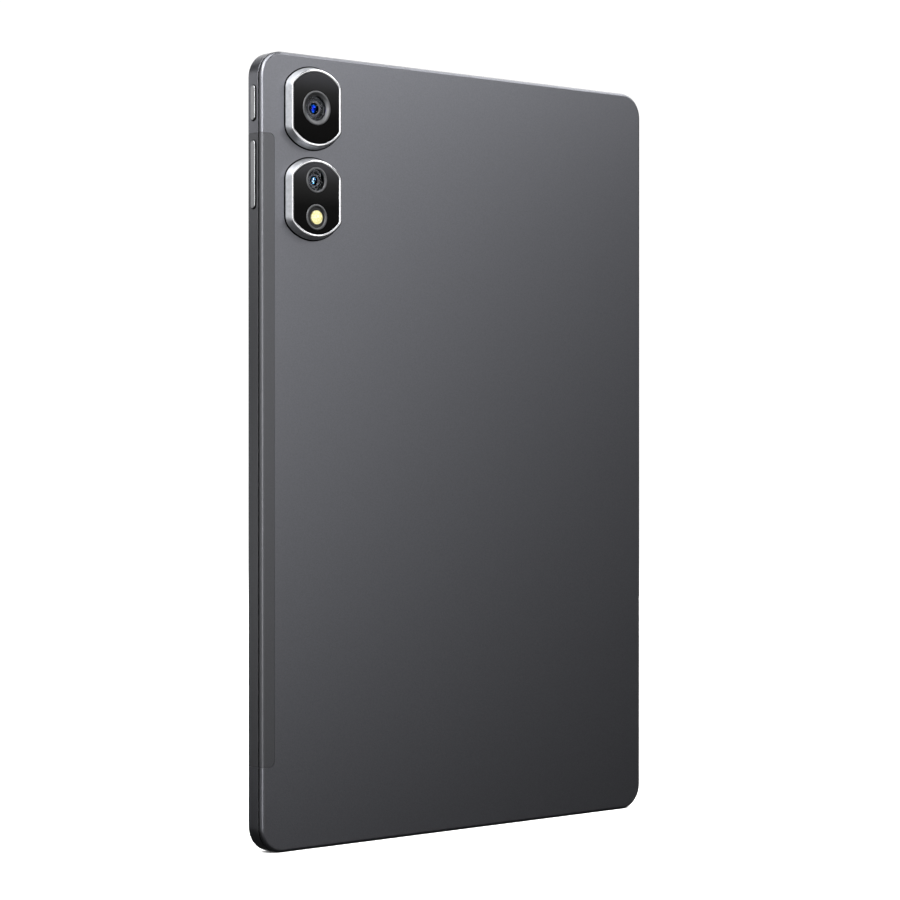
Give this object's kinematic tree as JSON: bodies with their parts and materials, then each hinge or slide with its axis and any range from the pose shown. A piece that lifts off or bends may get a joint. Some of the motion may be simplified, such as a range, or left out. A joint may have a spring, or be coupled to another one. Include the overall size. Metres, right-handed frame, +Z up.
{
  "type": "tablet computer",
  "caption": "Slim slate tablet computer with a flat metal back, rounded corners, two raised camera islands, an antenna window, edge keys and a removable card tray.",
  "frame": {"origin": "bottom centre of the tablet's bounding box: on the bottom edge it stands on, at the middle of its width and of its whole thickness including the camera islands", "axes": "+Z up along the long side, +Y out of the back with the cameras, -Y out of the screen, +X towards the edge with the keys"},
  "size_m": [0.1705, 0.0104, 0.258],
  "materials": {
    "shell": "fine bead-blasted, anodised grey, satin",
    "window_plastic": "fine matt, slightly darker than the metal round it",
    "bezel_metal": "polished rim over a satin tapered wall",
    "black_glass": "glossy black",
    "lens_ring": "fine turned, dark",
    "lens_glass": "coated, glossy",
    "black_barrel": "dull black",
    "phosphor": "clear over pale yellow",
    "cover_glass": "glossy, black border",
    "display": "smooth dark",
    "backlight": "white reflector in a thin tray",
    "adhesive": "matt black foam tape",
    "battery": "black foil pouch",
    "circuit_board": "dark green lacquer",
    "shield": "tinned sheet, satin",
    "steel": "satin",
    "flex": "amber film",
    "black_plastic": "moulded, matt",
    "graphite": "dark grey film"
  },
  "bodies": {
    "tablet": {"rear_cover": "shell", "side_frame": "shell", "rear_antenna_window": "window_plastic", "frame_antenna_window": "window_plastic", "main_camera_bezel": "bezel_metal", "second_camera_bezel": "bezel_metal", "main_camera_window": "black_glass", "second_camera_window": "black_glass", "main_lens_ring": "lens_ring", "second_lens_ring": "lens_ring", "flash_ring": "lens_ring", "main_lens_cover": "lens_glass", "second_lens_cover": "lens_glass", "second_camera_barrel": "black_barrel", "flash_lens": "phosphor", "flash_led": "phosphor", "cover_glass": "cover_glass", "display_panel": "display", "backlight_unit": "backlight", "display_adhesive": "adhesive", "battery_cell_key_side": "battery", "battery_cell_tray_side": "battery", "battery_board": "circuit_board", "main_board": "circuit_board", "usb_board": "circuit_board", "processor_shield": "shield", "radio_shield": "shield", "card_reader": "shield", "microphone": "shield", "midplate": "steel", "key_bracket": "steel", "usb_receptacle": "steel", "board_screw_1": "steel", "board_screw_2": "steel", "board_screw_3": "steel", "connector_screw_1": "steel", "connector_screw_2": "steel", "key_flex": "flex", "main_flex": "flex", "display_flex": "flex", "cellular_antenna": "flex", "wifi_antenna": "flex", "main_camera_body": "black_plastic", "second_camera_body": "black_plastic", "front_camera": "black_plastic", "usb_tongue": "black_plastic", "speaker_bottom_key_side": "black_plastic", "speaker_bottom_tray_side": "black_plastic", "speaker_top_key_side": "black_plastic", "speaker_top_tray_side": "black_plastic", "graphite_sheet": "graphite"},
    "power_key": {"power_key": "shell"},
    "power_switch_plunger": {"power_switch_plunger": "black_plastic"},
    "volume_key": {"volume_key": "shell"},
    "volume_up_plunger": {"volume_up_plunger": "black_plastic"},
    "volume_down_plunger": {"volume_down_plunger": "black_plastic"},
    "card_tray": {"card_tray": "shell"},
    "eject_rod": {"eject_rod": "steel"},
    "eject_lever": {"eject_lever": "steel"},
    "main_camera_barrel": {"main_camera_barrel": "black_barrel"}
  },
  "joints": [
    {"name": "power_key_press", "type": "slide", "parent": "tablet", "child": "power_key", "axis": [-1, 0, 0], "range_m": [0, 0.0003], "stiffness_N_per_m": 800, "springref_m": -0.0004},
    {"name": "power_plunger_press", "type": "slide", "parent": "tablet", "child": "power_switch_plunger", "axis": [-1, 0, 0], "range_m": [0, 0.0003]},
    {"name": "volume_key_rock", "type": "hinge", "parent": "tablet", "child": "volume_key", "pos_m": [0.08175, -0.00195, 0.2181], "axis": [0, 1, 0], "range_deg": [-1.5, 1.5], "stiffness_Nm_per_rad": 0.05},
    {"name": "volume_up_plunger_press", "type": "slide", "parent": "tablet", "child": "volume_up_plunger", "axis": [-1, 0, 0], "range_m": [-0.0002, 0.0002]},
    {"name": "volume_down_plunger_press", "type": "slide", "parent": "tablet", "child": "volume_down_plunger", "axis": [-1, 0, 0], "range_m": [-0.0002, 0.0002]},
    {"name": "card_tray_slide", "type": "slide", "parent": "tablet", "child": "card_tray", "axis": [-1, 0, 0], "range_m": [0, 0.02]},
    {"name": "eject_rod_push", "type": "slide", "parent": "tablet", "child": "eject_rod", "axis": [1, 0, 0], "range_m": [0, 0.0012]},
    {"name": "eject_lever_turn", "type": "hinge", "parent": "tablet", "child": "eject_lever", "pos_m": [-0.059, -0.00135, 0.2168], "axis": [0, 1, 0], "range_deg": [0, 18]},
    {"name": "main_camera_focus", "type": "slide", "parent": "tablet", "child": "main_camera_barrel", "axis": [0, 1, 0], "range_m": [0, 0.0003], "stiffness_N_per_m": 100}
  ],
  "couplings": [
    {"joint": "power_plunger_press", "follows": "power_key_press", "ratio": 1},
    {"joint": "volume_up_plunger_press", "follows": "volume_key_rock", "m_per_rad": -0.007},
    {"joint": "volume_down_plunger_press", "follows": "volume_key_rock", "m_per_rad": 0.007},
    {"joint": "eject_lever_turn", "follows": "eject_rod_push", "rad_per_m": 250}
  ]
}
